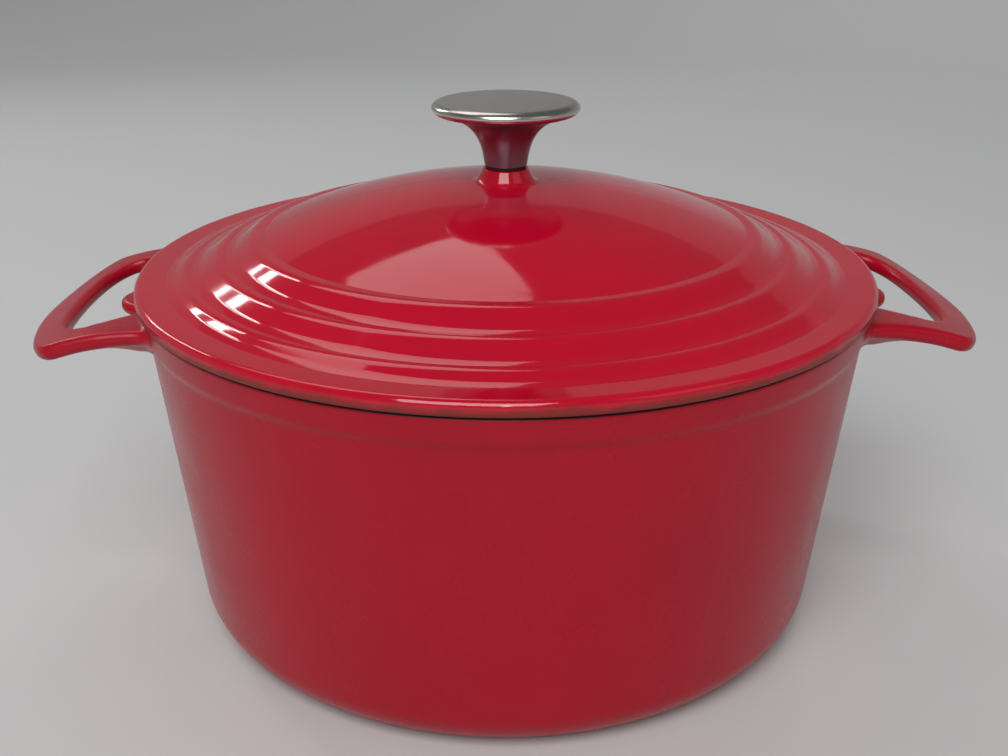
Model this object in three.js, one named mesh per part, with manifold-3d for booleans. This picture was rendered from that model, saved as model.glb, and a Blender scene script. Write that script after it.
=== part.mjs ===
// Enamelled cast-iron dutch oven: a tapered pot with two cast loop handles, a domed lid with
// stepped rings, and a stainless steel knob held by one screw from below.
// Millimetres, +Z up. The origin is on the resting surface under the pot's centre, and the
// handles reach out along +X and -X.
import * as THREE from 'three';
import { mergeVertices } from 'three/addons/utils/BufferGeometryUtils.js';
import Module from 'manifold-3d';

// Clearances
const SEAT_GAP = 0.3; // between two pieces that rest on each other
const SCREW_CLEARANCE = 0.35; // radial, between the screw and what it passes through
const LID_CLEARANCE = 1.0; // radial, between the lid's locating flange and the pot

// Pot shell
const POT_HEIGHT = 119;
const BASE_RADIUS = 110.9; // the wall's line carried down to the resting surface
const RIM_RADIUS = 123.6; // the wall's line at the rim
const POT_WALL = 4.4;
const POT_FLOOR = 5.5;
const BASE_CORNER = 16;
const CAVITY_CORNER = 14;
const BAND_HEIGHT = 9.2; // the thickened band under the rim
const BAND_PROUD = 0.9;
const RIM_ROUND = 1.4;
const FOOT_RADIUS = 84; // the shallow recess inside the flat foot ring
const FOOT_RECESS = 0.8;

// Loop handles, cast with the pot
const HANDLE_REACH = 38.2; // from the rim's wall line to the tip
const HANDLE_WIDTH = 99; // across the two arms
const HANDLE_THICKNESS = 5.2;
const HANDLE_ROUND = 2;
const HANDLE_BELOW_RIM = 2.6; // from the rim down to the top of the strap
const HANDLE_DROOP = 11.2; // how far the tip hangs below the root
const DROOP_START = -6; // where the bend begins, from the rim's wall line
const ARM_LENGTH = 22; // straight part of each arm, beyond the rim's wall line
const BAR_WIDTH = 13.4; // the grip bar at the tip
const ARM_ROOT_WIDTH = 21;
const ARM_WIDTH = 12.5;
const OPENING_FLAT = 30; // straight stretch of the opening along the grip bar
const SHOULDER_PULL = 8; // how far the curve from an arm to the tip runs on along the arm
const TIP_PULL = 11; // and how far it runs on across the tip
const ROOT_FLARE = 5; // how far each arm widens outwards where it meets the wall
const ROOT_FLARE_LENGTH = 12;
const RIB_LENGTH = 14; // the rib under each arm, beyond the rim's wall line
const RIB_DEPTH = 6.4;
const RIB_WIDTH = 9;

// Lugs on the rim in the middle of each handle opening
const LUG_LENGTH = 26;
const LUG_PROUD = 11.4; // beyond the rim's wall line
const LUG_THICKNESS = 4.6;
const LUG_ROUND = 1.8;
const LUG_BELOW_RIM = 7;

// Lid. Heights are above the face that rests on the pot's rim.
const LID_RADIUS = 126;
const LID_WALL = 4.2;
const BRIM_HEIGHT = 5.0; // at the outer edge
const BRIM_INNER_RADIUS = 115.8;
const BRIM_INNER_HEIGHT = 5.4;
const BRIM_EDGE_ROUND = 2.2;
const BRIM_UNDER_ROUND = 1.3;
const LOWER_LEDGE_OUTER = 109.6; // three flat ledges part the rings
const LOWER_LEDGE_INNER = 107.2;
const LOWER_LEDGE_HEIGHT = 7.4;
const MIDDLE_LEDGE_OUTER = 98.2;
const MIDDLE_LEDGE_INNER = 95.4;
const MIDDLE_LEDGE_HEIGHT = 12.2;
const UPPER_LEDGE_OUTER = 86.5;
const UPPER_LEDGE_INNER = 82.4;
const UPPER_LEDGE_HEIGHT = 17.4;
const SHOULDER_ROUND = 5.5; // convex turn at a ledge's outer edge
const COVE_ROUND = 7; // hollow turn above the next ledge
const COVE_RISE = 0.7;
const COVE_WIDTH = 2.6;
const DOME_HEIGHT = 33.2;
const BOSS_HEIGHT = 37.7;
const BOSS_TOP_RADIUS = 7.7;
const BOSS_BASE_RADIUS = 10.2;
const BOSS_FILLET = 3;
const BOSS_EDGE_ROUND = 0.6;
const FLANGE_DEPTH = 4.8; // locating flange that drops inside the pot's rim
const FLANGE_WALL = 3.4;
const FLANGE_ROUND = 1.2;
const SEAT_PAD_RADIUS = 9; // flat face under the lid for the washers

// Knob
const KNOB_RADIUS = 25;
const KNOB_HEIGHT = 21.7; // from the stem's lower end to the top of the cap
const KNOB_CROWN = 0.3; // rise of the cap's slightly domed top
const KNOB_WALL = 1.2;
const CAP_EDGE_WIDTH = 3.5; // the cap's edge is half an oval bead, turned in underneath
const CAP_EDGE_DEPTH = 4.4;
const STEM_FOOT_RADIUS = 7.3;
const STEM_NECK_RADIUS = 8.4;
const STEM_NECK_HEIGHT = 4.9;
const FLARE_RADIUS = 10;
const FLARE_TURN = 66; // degrees, from upright to where the flare runs out straight
const FLANGE_UP = 1.6; // the stem's rim turned up inside the cap's skirt

// Knob fixing
const SCREW_DIAMETER = 6;
const SCREW_ENGAGEMENT = 10.5;
const SCREW_HEAD_RADIUS = 5.4;
const SCREW_HEAD_HEIGHT = 3.8;
const SCREW_HEAD_ROUND = 1.6;
const INSERT_LENGTH = 12;
const INSERT_CHAMFER = 0.6;
const GASKET_THICKNESS = 0.5;
const GASKET_RADIUS = 7;
const FLAT_WASHER_RADIUS = 7.5;
const FLAT_WASHER_THICKNESS = 1.2;
const SPRING_WASHER_RADIUS = 5.2;
const SPRING_WASHER_THICKNESS = 1.5;
const SPRING_WASHER_SPLIT = 1.2; // width of the cut through the ring

// Facets
const CHORD_TOLERANCE = 0.2;
const LARGE_SEGMENTS = 48;
const KNOB_SEGMENTS = 32;
const SMALL_SEGMENTS = 24;
const BEAD_STEPS = 7;

// Levels that pieces share
const SEAT = POT_HEIGHT + SEAT_GAP; // the lid's resting face
const BOSS_TOP = SEAT + BOSS_HEIGHT;
const KNOB_FOOT = BOSS_TOP + GASKET_THICKNESS + 2 * SEAT_GAP;
const PAD_LEVEL = SEAT + DOME_HEIGHT - LID_WALL;
const SCREW_RADIUS = SCREW_DIAMETER / 2;
const SCREW_HOLE = SCREW_RADIUS + SCREW_CLEARANCE;
const CAP_TOP = KNOB_FOOT + KNOB_HEIGHT;
const BEAD_CENTRE = new THREE.Vector2(
  KNOB_RADIUS - CAP_EDGE_WIDTH, CAP_TOP - KNOB_CROWN - CAP_EDGE_DEPTH / 2,
);

const wasm = await Module();
wasm.setup();

// Outer radius of the pot's plain wall at a height
function wallRadius(z) {
  return BASE_RADIUS + (RIM_RADIUS - BASE_RADIUS) * z / POT_HEIGHT;
}

// Points along an arc, as many as keep the facets within the chord tolerance
function arcPoints(centre, radius, from, to) {
  const step = 2 * Math.acos(1 - Math.min(0.5, CHORD_TOLERANCE / radius));
  const count = Math.max(2, Math.ceil(Math.abs(to - from) / step));
  return Array.from({ length: count + 1 }, (_, i) => {
    const angle = from + (to - from) * i / count;
    return new THREE.Vector2(centre.x + radius * Math.cos(angle), centre.y + radius * Math.sin(angle));
  });
}

// A profile from corners [radius, height, rounding]. A corner without a rounding stays sharp,
// and a rounding is limited by the shorter of the two sides that meet there.
function profile(corners, closed = false) {
  const at = corners.map(([r, z]) => new THREE.Vector2(r, z));
  const last = corners.length - 1;
  const points = [];
  corners.forEach(([, , rounding = 0], i) => {
    const isEnd = !closed && (i === 0 || i === last);
    if (rounding === 0 || isEnd) {
      points.push(at[i]);
      return;
    }
    const toPrevious = at[(i + last) % (last + 1)].clone().sub(at[i]);
    const toNext = at[(i + 1) % (last + 1)].clone().sub(at[i]);
    const room = 0.49 * Math.min(toPrevious.length(), toNext.length());
    toPrevious.normalize();
    toNext.normalize();
    const half = Math.acos(THREE.MathUtils.clamp(toPrevious.dot(toNext), -1, 1)) / 2;
    const reach = Math.min(rounding / Math.tan(half), room);
    const radius = reach * Math.tan(half);
    const bisector = toPrevious.clone().add(toNext).normalize();
    const centre = at[i].clone().addScaledVector(bisector, radius / Math.sin(half));
    const start = at[i].clone().addScaledVector(toPrevious, reach).sub(centre);
    const end = at[i].clone().addScaledVector(toNext, reach).sub(centre);
    const turn = Math.atan2(start.cross(end), start.dot(end));
    points.push(...arcPoints(centre, radius, start.angle(), start.angle() + turn));
  });
  if (closed) points.push(points[0].clone());
  return points;
}

// A solid of revolution about Z
function revolve(points, segments) {
  return new THREE.LatheGeometry(points, segments).rotateX(Math.PI / 2);
}

// A flat ring with an optional cut through it, standing on z = 0
function ring(outer, inner, thickness, cut = 0) {
  const half = cut === 0 ? 0 : Math.asin(cut / 2 / inner);
  const shape = new THREE.Shape();
  if (cut === 0) {
    shape.absarc(0, 0, outer, 0, 2 * Math.PI);
    shape.holes.push(new THREE.Path().absarc(0, 0, inner, 0, 2 * Math.PI, true));
  } else {
    shape.absarc(0, 0, outer, half, 2 * Math.PI - half);
    shape.absarc(0, 0, inner, 2 * Math.PI - half, half, true);
  }
  return new THREE.ExtrudeGeometry(shape, {
    depth: thickness, bevelEnabled: false, curveSegments: SMALL_SEGMENTS,
  });
}

// Conversion to and from solids that can be joined and cut
function toSolid(geometry) {
  const bare = geometry.index ? geometry.clone() : geometry;
  bare.deleteAttribute('normal');
  bare.deleteAttribute('uv');
  const merged = mergeVertices(bare, 1e-4);
  return new wasm.Manifold(new wasm.Mesh({
    numProp: 3,
    vertProperties: new Float32Array(merged.attributes.position.array),
    triVerts: new Uint32Array(merged.index.array),
  }));
}

function toGeometry(solid) {
  const mesh = solid.getMesh();
  const geometry = new THREE.BufferGeometry();
  geometry.setAttribute('position', new THREE.BufferAttribute(mesh.vertProperties, 3));
  geometry.setIndex(new THREE.BufferAttribute(mesh.triVerts, 1));
  geometry.computeVertexNormals();
  return geometry;
}

// Pot: the outside as one turned blank
function potBlank() {
  const bandFoot = POT_HEIGHT - BAND_HEIGHT;
  return revolve(profile([
    [0, FOOT_RECESS],
    [FOOT_RADIUS - FOOT_RECESS, FOOT_RECESS],
    [FOOT_RADIUS, 0],
    [BASE_RADIUS, 0, BASE_CORNER],
    [wallRadius(bandFoot), bandFoot],
    [wallRadius(bandFoot) + BAND_PROUD, bandFoot + BAND_PROUD],
    [RIM_RADIUS + BAND_PROUD, POT_HEIGHT, RIM_ROUND],
    [0, POT_HEIGHT],
  ]), LARGE_SEGMENTS);
}

// The inside, carried past the rim so that it cuts clear
function potCavity() {
  const rim = RIM_RADIUS - POT_WALL;
  const floor = wallRadius(POT_FLOOR) - POT_WALL;
  return revolve(profile([
    [0, POT_FLOOR],
    [floor, POT_FLOOR, CAVITY_CORNER],
    [rim, POT_HEIGHT - RIM_ROUND],
    [rim + RIM_ROUND, POT_HEIGHT],
    [rim + RIM_ROUND, POT_HEIGHT + RIM_ROUND],
    [0, POT_HEIGHT + RIM_ROUND],
  ]), LARGE_SEGMENTS);
}

// The handle bends down in a parabola: how far it hangs at a distance from the pot's axis,
// and the angle of the bend there
const DROOP_SPAN = HANDLE_REACH - DROOP_START;

function droopAt(x) {
  const along = Math.max(0, x - RIM_RADIUS - DROOP_START) / DROOP_SPAN;
  return -HANDLE_DROOP * along * along;
}

function droopAngle(x) {
  const along = Math.max(0, x - RIM_RADIUS - DROOP_START) / DROOP_SPAN;
  return Math.atan(-2 * HANDLE_DROOP * along / DROOP_SPAN);
}

// One loop handle at +X: a flat strap with rounded edges, bent down towards its tip
function handleLoop() {
  const root = RIM_RADIUS - HANDLE_WIDTH / 4; // inside the pot, where the cavity trims it
  const half = HANDLE_WIDTH / 2 - HANDLE_ROUND;
  const tip = RIM_RADIUS + HANDLE_REACH - HANDLE_ROUND;
  const shoulder = RIM_RADIUS + ARM_LENGTH;
  const outline = new THREE.Shape();
  const flareEnd = RIM_RADIUS + ROOT_FLARE_LENGTH / 4;
  outline.moveTo(root, -half - ROOT_FLARE);
  outline.lineTo(flareEnd - ROOT_FLARE_LENGTH, -half - ROOT_FLARE);
  outline.quadraticCurveTo(flareEnd - ROOT_FLARE_LENGTH / 2, -half, flareEnd, -half);
  outline.lineTo(shoulder, -half);
  outline.bezierCurveTo(shoulder + SHOULDER_PULL, -half, tip, -TIP_PULL, tip, 0);
  outline.bezierCurveTo(tip, TIP_PULL, shoulder + SHOULDER_PULL, half, shoulder, half);
  outline.lineTo(flareEnd, half);
  outline.quadraticCurveTo(
    flareEnd - ROOT_FLARE_LENGTH / 2, half, flareEnd - ROOT_FLARE_LENGTH, half + ROOT_FLARE,
  );
  outline.lineTo(root, half + ROOT_FLARE);
  outline.closePath();

  const rootHalf = HANDLE_WIDTH / 2 - ARM_ROOT_WIDTH + HANDLE_ROUND;
  const armHalf = HANDLE_WIDTH / 2 - ARM_WIDTH + HANDLE_ROUND;
  const bar = RIM_RADIUS + HANDLE_REACH - BAR_WIDTH + HANDLE_ROUND;
  const corner = RIM_RADIUS + ARM_LENGTH / 2;
  const opening = new THREE.Path();
  opening.moveTo(root + HANDLE_ROUND, -rootHalf);
  opening.lineTo(root + HANDLE_ROUND, rootHalf);
  opening.lineTo(RIM_RADIUS - HANDLE_ROUND, rootHalf);
  opening.lineTo(corner, armHalf);
  opening.quadraticCurveTo(bar, armHalf, bar, OPENING_FLAT / 2);
  opening.lineTo(bar, -OPENING_FLAT / 2);
  opening.quadraticCurveTo(bar, -armHalf, corner, -armHalf);
  opening.lineTo(RIM_RADIUS - HANDLE_ROUND, -rootHalf);
  opening.closePath();
  outline.holes.push(opening);

  const strap = new THREE.ExtrudeGeometry(outline, {
    depth: HANDLE_THICKNESS - 2 * HANDLE_ROUND,
    bevelThickness: HANDLE_ROUND,
    bevelSize: HANDLE_ROUND,
    bevelSegments: 3,
    curveSegments: 10,
  });
  strap.translate(0, 0, HANDLE_ROUND - HANDLE_THICKNESS / 2);
  const middle = POT_HEIGHT - HANDLE_BELOW_RIM - HANDLE_THICKNESS / 2;
  const position = strap.attributes.position;
  for (let i = 0; i < position.count; i += 1) {
    const x = position.getX(i);
    const offset = position.getZ(i);
    const angle = droopAngle(x);
    position.setX(i, x - offset * Math.sin(angle));
    position.setZ(i, middle + droopAt(x) + offset * Math.cos(angle));
  }
  return strap;
}

// The rib that carries one arm of a handle on the wall below it
function armRib(side) {
  const root = RIM_RADIUS - HANDLE_WIDTH / 4;
  const end = RIM_RADIUS + RIB_LENGTH;
  const under = POT_HEIGHT - HANDLE_BELOW_RIM - HANDLE_THICKNESS;
  const into = HANDLE_THICKNESS / 2;
  const outline = new THREE.Shape();
  outline.moveTo(root, under + into);
  outline.lineTo(root, under - RIB_DEPTH);
  outline.lineTo(RIM_RADIUS - POT_WALL, under - RIB_DEPTH);
  outline.quadraticCurveTo(
    RIM_RADIUS + RIB_LENGTH / 2, under - RIB_DEPTH, end, under + droopAt(end) + HANDLE_ROUND,
  );
  outline.lineTo(end - HANDLE_ROUND, under + droopAt(end) + into);
  outline.closePath();
  const rib = new THREE.ExtrudeGeometry(outline, {
    depth: RIB_WIDTH - 2 * HANDLE_ROUND,
    bevelThickness: HANDLE_ROUND,
    bevelSize: HANDLE_ROUND / 2,
    bevelSegments: 2,
    curveSegments: 6,
  });
  const middle = HANDLE_WIDTH / 2 - ARM_ROOT_WIDTH / 2;
  return rib.rotateX(Math.PI / 2).translate(0, side * middle + RIB_WIDTH / 2 - HANDLE_ROUND, 0);
}

// The lug under the lid's edge, a rounded half-oval tab
function rimLug() {
  const length = LUG_LENGTH / 2 - LUG_ROUND;
  const root = RIM_RADIUS - POT_WALL;
  const outline = new THREE.Shape();
  outline.absellipse(root, 0, POT_WALL + LUG_PROUD - LUG_ROUND, length, 0, 2 * Math.PI);
  return new THREE.ExtrudeGeometry(outline, {
    depth: LUG_THICKNESS - 2 * LUG_ROUND,
    bevelThickness: LUG_ROUND,
    bevelSize: LUG_ROUND,
    bevelSegments: 3,
    curveSegments: 10,
  }).translate(0, 0, POT_HEIGHT - LUG_BELOW_RIM - LUG_THICKNESS + LUG_ROUND);
}

// The pot is one casting: the blank with both handles and lugs, hollowed by the cavity
function pot() {
  let casting = toSolid(potBlank());
  for (const turn of [0, Math.PI]) {
    for (const piece of [handleLoop(), armRib(1), armRib(-1), rimLug()]) {
      casting = casting.add(toSolid(piece.rotateZ(turn)));
    }
  }
  return toGeometry(casting.subtract(toSolid(potCavity())));
}

// Ledges of the lid from the edge inwards
const LEDGES = [
  { outer: LOWER_LEDGE_OUTER, inner: LOWER_LEDGE_INNER, height: LOWER_LEDGE_HEIGHT },
  { outer: MIDDLE_LEDGE_OUTER, inner: MIDDLE_LEDGE_INNER, height: MIDDLE_LEDGE_HEIGHT },
  { outer: UPPER_LEDGE_OUTER, inner: UPPER_LEDGE_INNER, height: UPPER_LEDGE_HEIGHT },
];

// The dome is part of a sphere from the upper ledge to the middle of the lid
const DOME_RISE = DOME_HEIGHT - UPPER_LEDGE_HEIGHT;
const DOME_RADIUS = (UPPER_LEDGE_INNER ** 2 + DOME_RISE ** 2) / (2 * DOME_RISE);
const DOME_CENTRE = new THREE.Vector2(0, SEAT + DOME_HEIGHT - DOME_RADIUS);

function domeArc(radius, fromX, toX) {
  return arcPoints(DOME_CENTRE, radius, Math.acos(fromX / radius), Math.acos(toX / radius));
}

// Lid: one closed profile, from the flange round the edge, over the rings to the bore and back
function lid() {
  const flange = RIM_RADIUS - POT_WALL - LID_CLEARANCE;
  const edge = profile([
    [flange - FLANGE_WALL, SEAT],
    [flange - FLANGE_WALL, SEAT - FLANGE_DEPTH, FLANGE_ROUND],
    [flange, SEAT - FLANGE_DEPTH, FLANGE_ROUND],
    [flange, SEAT],
    [LID_RADIUS, SEAT, BRIM_UNDER_ROUND],
    [LID_RADIUS, SEAT + BRIM_HEIGHT, BRIM_EDGE_ROUND],
    [BRIM_INNER_RADIUS, SEAT + BRIM_INNER_HEIGHT],
    ...LEDGES.flatMap((ledge, i) => {
      const below = LEDGES[i - 1] ?? { inner: BRIM_INNER_RADIUS, height: BRIM_INNER_HEIGHT };
      return [
        [below.inner - COVE_WIDTH, SEAT + below.height + COVE_RISE, COVE_ROUND],
        [ledge.outer, SEAT + ledge.height, SHOULDER_ROUND],
        [ledge.inner, SEAT + ledge.height],
      ];
    }),
  ]);
  const bossFoot = SEAT + DOME_HEIGHT;
  const boss = profile([
    [BOSS_BASE_RADIUS + BOSS_FILLET, bossFoot],
    [BOSS_BASE_RADIUS, bossFoot, BOSS_FILLET],
    [BOSS_TOP_RADIUS, BOSS_TOP, BOSS_EDGE_ROUND],
    [SCREW_HOLE, BOSS_TOP],
    [SCREW_HOLE, PAD_LEVEL],
    [SEAT_PAD_RADIUS, PAD_LEVEL],
  ]);
  const dome = domeArc(DOME_RADIUS, UPPER_LEDGE_INNER, BOSS_BASE_RADIUS + BOSS_FILLET).slice(1, -1);
  const inside = domeArc(DOME_RADIUS - LID_WALL, SEAT_PAD_RADIUS, UPPER_LEDGE_INNER - LID_WALL).slice(1);
  const underside = [...LEDGES].reverse().map((ledge) => new THREE.Vector2(
    (ledge.inner + ledge.outer) / 2 - LID_WALL / 4, SEAT + ledge.height - LID_WALL,
  ));
  const points = [...edge, ...dome, ...boss, ...inside, ...underside];
  return revolve([...points, points[0].clone()], LARGE_SEGMENTS);
}

// Points along the cap's oval edge, from under the bead round to the top
function beadPoints(inset, from, to) {
  const across = CAP_EDGE_WIDTH - inset;
  const up = CAP_EDGE_DEPTH / 2 - inset;
  return new THREE.EllipseCurve(BEAD_CENTRE.x, BEAD_CENTRE.y, across, up, from, to, from > to)
    .getPoints(BEAD_STEPS);
}

// Knob cap: a pressed disc with an oval edge that turns in underneath
function knobCap() {
  const quarter = Math.PI / 2;
  return revolve([
    ...beadPoints(0, -quarter, quarter),
    new THREE.Vector2(0, CAP_TOP),
    new THREE.Vector2(0, CAP_TOP - KNOB_WALL),
    ...beadPoints(KNOB_WALL, quarter, -quarter),
    new THREE.Vector2(BEAD_CENTRE.x, BEAD_CENTRE.y - CAP_EDGE_DEPTH / 2),
  ], KNOB_SEGMENTS);
}

// Knob stem: a trumpet that flares out to the cap, hollow to take the threaded insert
function knobStem() {
  const neck = KNOB_FOOT + STEM_NECK_HEIGHT;
  const centre = new THREE.Vector2(STEM_NECK_RADIUS + FLARE_RADIUS, neck);
  const turned = Math.PI - THREE.MathUtils.degToRad(FLARE_TURN);
  const rim = BEAD_CENTRE.x - SEAT_GAP;
  const lip = BEAD_CENTRE.y - CAP_EDGE_DEPTH / 2;
  const bore = STEM_FOOT_RADIUS - KNOB_WALL;
  const points = [
    new THREE.Vector2(STEM_FOOT_RADIUS, KNOB_FOOT),
    ...arcPoints(centre, FLARE_RADIUS, Math.PI, turned),
    new THREE.Vector2(rim, lip),
    new THREE.Vector2(rim, lip + FLANGE_UP),
    new THREE.Vector2(rim - KNOB_WALL, lip + FLANGE_UP),
    new THREE.Vector2(rim - KNOB_WALL, lip + KNOB_WALL),
    ...arcPoints(centre, FLARE_RADIUS + KNOB_WALL, turned, Math.PI),
    new THREE.Vector2(bore, neck),
    new THREE.Vector2(bore, KNOB_FOOT),
  ];
  return revolve([...points, points[0].clone()], KNOB_SEGMENTS);
}

// Threaded insert inside the stem, which the screw draws down
function knobInsert() {
  const outer = STEM_FOOT_RADIUS - KNOB_WALL - SEAT_GAP;
  return revolve(profile([
    [SCREW_HOLE, KNOB_FOOT],
    [outer, KNOB_FOOT],
    [outer, KNOB_FOOT + INSERT_LENGTH - INSERT_CHAMFER],
    [outer - INSERT_CHAMFER, KNOB_FOOT + INSERT_LENGTH],
    [SCREW_HOLE, KNOB_FOOT + INSERT_LENGTH],
  ], true), SMALL_SEGMENTS);
}

// Stack of washers under the lid's seat pad, from the pad down
const FLAT_WASHER_FOOT = PAD_LEVEL - SEAT_GAP - FLAT_WASHER_THICKNESS;
const SPRING_WASHER_FOOT = FLAT_WASHER_FOOT - SEAT_GAP - SPRING_WASHER_THICKNESS;
const HEAD_LEVEL = SPRING_WASHER_FOOT - SEAT_GAP;

// Pan-head screw that holds the knob from inside the lid
function knobScrew() {
  const tip = KNOB_FOOT + SCREW_ENGAGEMENT;
  return revolve(profile([
    [0, HEAD_LEVEL - SCREW_HEAD_HEIGHT],
    [SCREW_HEAD_RADIUS, HEAD_LEVEL - SCREW_HEAD_HEIGHT, SCREW_HEAD_ROUND],
    [SCREW_HEAD_RADIUS, HEAD_LEVEL],
    [SCREW_RADIUS, HEAD_LEVEL],
    [SCREW_RADIUS, tip - SCREW_RADIUS / 4],
    [SCREW_RADIUS * 0.75, tip],
    [0, tip],
  ]), SMALL_SEGMENTS);
}

// Materials
const enamel = { color: 0xa61a2a, roughness: 0.28, metalness: 0 };
const steel = { color: 0xc9c7c4, roughness: 0.25, metalness: 1 };
const zinc = { color: 0xa9abad, roughness: 0.4, metalness: 1 };

function piece(name, geometry, look, height = 0) {
  const mesh = new THREE.Mesh(geometry, new THREE.MeshStandardMaterial(look));
  mesh.name = name;
  mesh.position.z = height;
  return mesh;
}

const lidGroup = new THREE.Group();
lidGroup.add(
  piece('lid', lid(), enamel),
  piece('knob_gasket', ring(GASKET_RADIUS, SCREW_HOLE, GASKET_THICKNESS),
    { color: 0x1c1b1a, roughness: 0.8, metalness: 0 }, BOSS_TOP + SEAT_GAP),
  piece('flat_washer', ring(FLAT_WASHER_RADIUS, SCREW_HOLE, FLAT_WASHER_THICKNESS), zinc, FLAT_WASHER_FOOT),
  piece('spring_washer',
    ring(SPRING_WASHER_RADIUS, SCREW_HOLE, SPRING_WASHER_THICKNESS, SPRING_WASHER_SPLIT),
    zinc, SPRING_WASHER_FOOT),
  piece('knob_screw', knobScrew(), zinc),
);

const knobGroup = new THREE.Group();
knobGroup.add(
  piece('knob_cap', knobCap(), steel),
  piece('knob_stem', knobStem(), steel),
  piece('knob_insert', knobInsert(), zinc),
);

const dutchOven = new THREE.Group();
dutchOven.add(piece('pot', pot(), enamel), lidGroup, knobGroup);

export default dutchOven;
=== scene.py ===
"""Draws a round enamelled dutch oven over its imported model, on a pale floor under soft light."""
import math
from types import SimpleNamespace

import bmesh
import bpy
from mathutils import Matrix, Vector
from mathutils.geometry import interpolate_bezier


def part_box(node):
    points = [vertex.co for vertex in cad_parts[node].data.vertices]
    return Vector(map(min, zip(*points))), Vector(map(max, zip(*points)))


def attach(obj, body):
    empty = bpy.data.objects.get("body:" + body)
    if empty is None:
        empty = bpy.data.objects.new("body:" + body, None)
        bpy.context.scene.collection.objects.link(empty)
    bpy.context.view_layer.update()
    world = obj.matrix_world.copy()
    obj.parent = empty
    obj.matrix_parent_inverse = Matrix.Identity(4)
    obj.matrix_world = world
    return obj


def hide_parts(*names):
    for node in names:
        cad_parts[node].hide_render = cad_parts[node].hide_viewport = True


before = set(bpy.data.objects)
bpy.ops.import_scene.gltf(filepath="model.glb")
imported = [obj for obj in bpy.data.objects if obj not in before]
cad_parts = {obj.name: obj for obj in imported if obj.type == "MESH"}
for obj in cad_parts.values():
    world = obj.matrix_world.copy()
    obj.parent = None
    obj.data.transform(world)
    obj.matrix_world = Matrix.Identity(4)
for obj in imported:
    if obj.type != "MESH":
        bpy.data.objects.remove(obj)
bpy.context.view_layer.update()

bl_info = {
    "name": "Dutch Oven",
    "version": (1, 0, 0),
    "blender": (4, 5, 0),
    "location": "3D View > Sidebar > Dutch Oven",
    "description": "Builds the pot, lid, knob and fixings of an enamelled dutch oven, and a plain stage",
    "category": "Add Mesh",
}

MM = 0.001
FULL_TURN = math.tau
CASTING_STEPS = 192
KNOB_STEPS = 128
FIXING_STEPS = 64
SCREW_STEPS = 48
THREAD_STEPS = 32
SHARP_EDGE = math.radians(40)


def linear(code):
    """An sRGB hex colour as linear RGBA."""
    parts = [int(code[i:i + 2], 16) / 255 for i in (1, 3, 5)]
    return tuple(p / 12.92 if p <= 0.04045 else ((p + 0.055) / 1.055) ** 2.4 for p in parts) + (1.0,)


def length(name, description, size):
    """A length property whose default is given in millimetres."""
    return bpy.props.FloatProperty(name=name, description=description, default=size * MM, unit="LENGTH")


def colour(name, description, code):
    """A colour property whose default is given as sRGB hex."""
    return bpy.props.FloatVectorProperty(
        name=name, description=description, default=linear(code), size=4, min=0, max=1, subtype="COLOR")


class PotSizes(bpy.types.PropertyGroup):
    """The turned shell of the pot."""
    height: length("Height", "Foot to rim", 119)
    base_radius: length("Base radius", "Wall carried down to the floor", 110.9)
    rim_radius: length("Rim radius", "Wall carried up to the rim, without the band", 123.6)
    wall: length("Wall", "Thickness of the side", 4.4)
    floor: length("Floor", "Height of the inside above the table", 5.5)
    base_corner: length("Base corner", "Rounding between side and base", 16)
    cavity_corner: length("Cavity corner", "Rounding inside the base", 14)
    band_height: length("Band height", "Thickened band under the rim", 9.2)
    band_proud: length("Band", "How far the band stands out", 0.9)
    rim_round: length("Rim rounding", "Rounding of the rim's edges", 1.4)
    foot_radius: length("Foot radius", "Inner radius of the foot ring", 84)
    foot_recess: length("Foot recess", "Hollow inside the foot ring", 0.8)


class HandleSizes(bpy.types.PropertyGroup):
    """A loop handle and the lug between its arms."""
    reach: length("Reach", "Loop beyond the rim", 38.2)
    width: length("Width", "Across both arms", 99)
    thickness: length("Thickness", "Strap thickness", 5.2)
    edge: length("Edge", "Rounding of the strap's edges", 2.3)
    below_rim: length("Below rim", "Rim down to the strap's top", 2.6)
    droop: length("Droop", "Drop of the grip below the arms", 11.2)
    bar: length("Bar", "Width of the grip", 13.4)
    arm: length("Arm", "Width of an arm", 12.5)
    arm_root: length("Arm root", "Width of an arm at the wall", 21)
    arm_length: length("Arm length", "Straight part beyond the rim", 22)
    fillet: length("Fillet", "Rounding into the wall", 5)
    keel_depth: length("Keel depth", "Web under an arm at the wall", 6.4)
    keel_length: length("Keel length", "Web beyond the rim", 14)
    lug_length: length("Lug length", "Along the wall", 26)
    lug_proud: length("Lug", "How far the lug stands out", 11.4)
    lug_thickness: length("Lug thickness", "Height of the lug", 4.6)
    lug_below_rim: length("Lug below rim", "Rim down to the lug's top", 7)


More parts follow.
